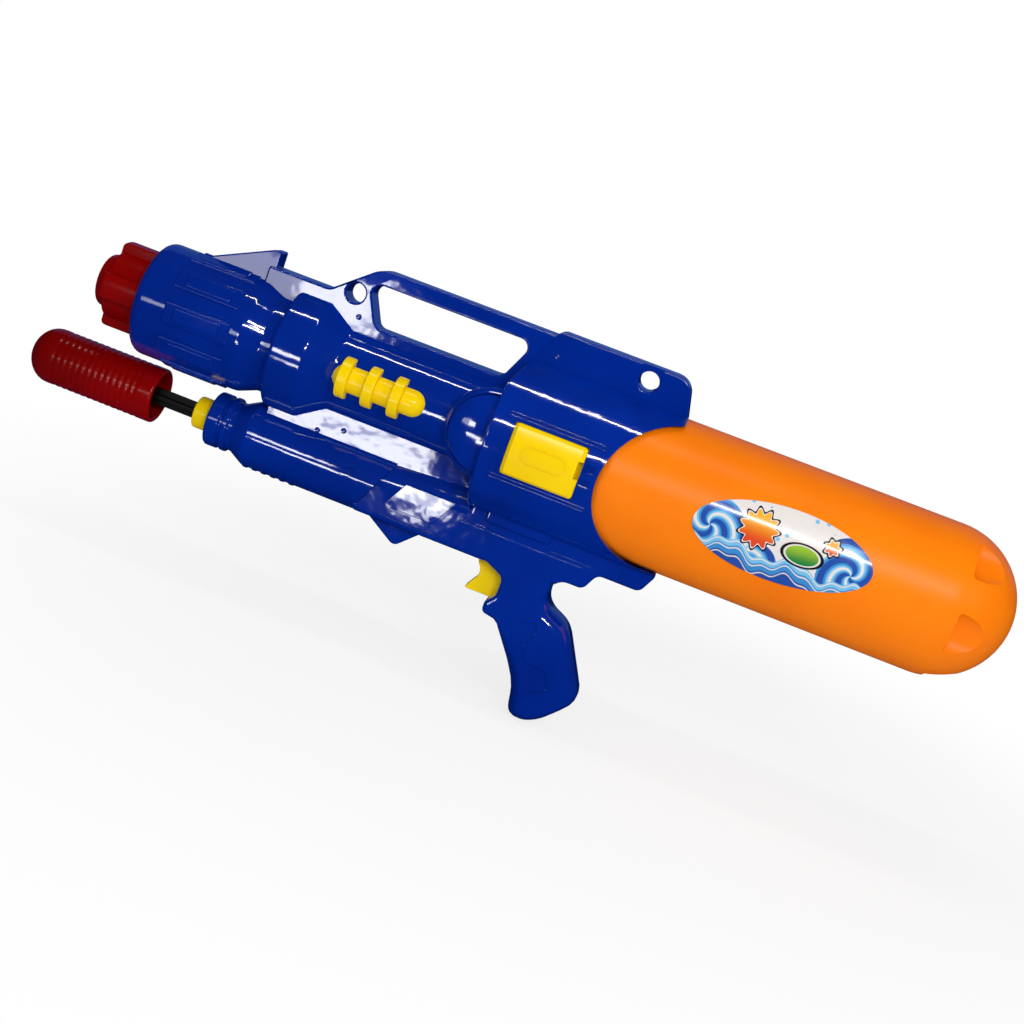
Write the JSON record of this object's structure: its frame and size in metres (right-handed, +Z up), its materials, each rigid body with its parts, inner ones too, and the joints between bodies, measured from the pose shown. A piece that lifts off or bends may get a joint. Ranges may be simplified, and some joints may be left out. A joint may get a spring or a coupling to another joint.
{
  "type": "pump action water squirter",
  "caption": "Toy water squirter with a clamshell casing, screw-on tank, sliding hand pump, twist nozzle, carrying handle and sprung trigger valve.",
  "frame": {"origin": "the middle of the pistol grip, where the hand holds it, on the middle plane", "axes": "+X from the muzzle back along the barrel to the tank's dome, +Z up, +Y to the shooter's right"},
  "size_m": [0.6694, 0.114, 0.2528],
  "materials": {
    "blue": "glossy injection-moulded plastic",
    "red": "semi-gloss moulded plastic",
    "yellow": "glossy moulded plastic",
    "orange": "satin blow-moulded plastic",
    "black": "satin moulded plastic",
    "white": "natural moulded plastic",
    "hose": "soft milky hose",
    "rubber": "soft seal rubber",
    "steel": "bright wire and screws",
    "print": "printed film sticker"
  },
  "bodies": {
    "casing": {"casing_left": "blue", "casing_right": "blue", "nozzle_tube": "white", "nozzle_seal": "rubber", "barrel_trim_left": "yellow", "barrel_trim_right": "yellow", "port_cover_left": "yellow", "port_cover_right": "yellow", "pump_cylinder": "white", "gland_cap": "yellow", "check_valve_body": "white", "check_valve_spring": "steel", "air_hose": "hose", "tank_socket": "white", "dip_tube": "hose", "trigger_pin": "steel", "trigger_spring": "steel", "valve_body": "white", "valve_spring": "steel", "supply_hose": "hose", "outlet_hose": "hose", "casing_screw_neck": "steel", "casing_screw_handle": "steel", "casing_screw_fin_front": "steel", "casing_screw_fin_rear": "steel", "casing_screw_web": "steel", "casing_screw_lug": "steel", "casing_screw_frame": "steel", "casing_screw_grip": "steel", "casing_screw_skirt": "steel"},
    "nozzle": {"nozzle": "red"},
    "pump": {"pump_grip": "red", "pump_rod": "black", "pump_piston": "black", "piston_ring": "rubber"},
    "trigger": {"trigger": "yellow"},
    "plunger": {"valve_plunger": "black", "valve_seal": "rubber"},
    "gasket": {"tank_gasket": "rubber"},
    "tank": {"tank": "orange", "tank_label": "print"},
    "check_ball": {"check_valve_ball": "steel"}
  },
  "joints": [
    {"name": "pump_slide", "type": "slide", "parent": "casing", "child": "pump", "axis": [-1, 0, 0], "range_m": [-0.039, 0.068]},
    {"name": "trigger_pull", "type": "hinge", "parent": "casing", "child": "trigger", "pos_m": [-0.05, 0, 0.068], "axis": [0, -1, 0], "range_deg": [0, 15], "stiffness_Nm_per_rad": 0.5, "springref_deg": -11.46, "deforming": ["trigger_spring"]},
    {"name": "valve_push", "type": "slide", "parent": "casing", "child": "plunger", "axis": [-1, 0, 0], "range_m": [0, 0.004], "deforming": ["valve_spring"]},
    {"name": "nozzle_twist", "type": "hinge", "parent": "casing", "child": "nozzle", "pos_m": [-0.34, 0, 0.14], "axis": [-1, 0, 0], "range_deg": [-90, 90]},
    {"name": "tank_travel", "type": "slide", "parent": "casing", "child": "gasket", "axis": [1, 0, 0], "range_m": [0, 0.0061]},
    {"name": "tank_turn", "type": "hinge", "parent": "gasket", "child": "tank", "pos_m": [0.11, 0, 0.14], "axis": [1, 0, 0], "range_deg": [0, 540]},
    {"name": "check_lift", "type": "slide", "parent": "casing", "child": "check_ball", "axis": [1, 0, 0], "range_m": [0, 0.0012], "stiffness_N_per_m": 40, "springref_m": -0.002, "deforming": ["check_valve_spring"]}
  ],
  "couplings": [
    {"joint": "valve_push", "follows": "trigger_pull", "m_per_rad": 0.014},
    {"joint": "tank_travel", "follows": "tank_turn", "m_per_rad": 0.00063662}
  ]
}
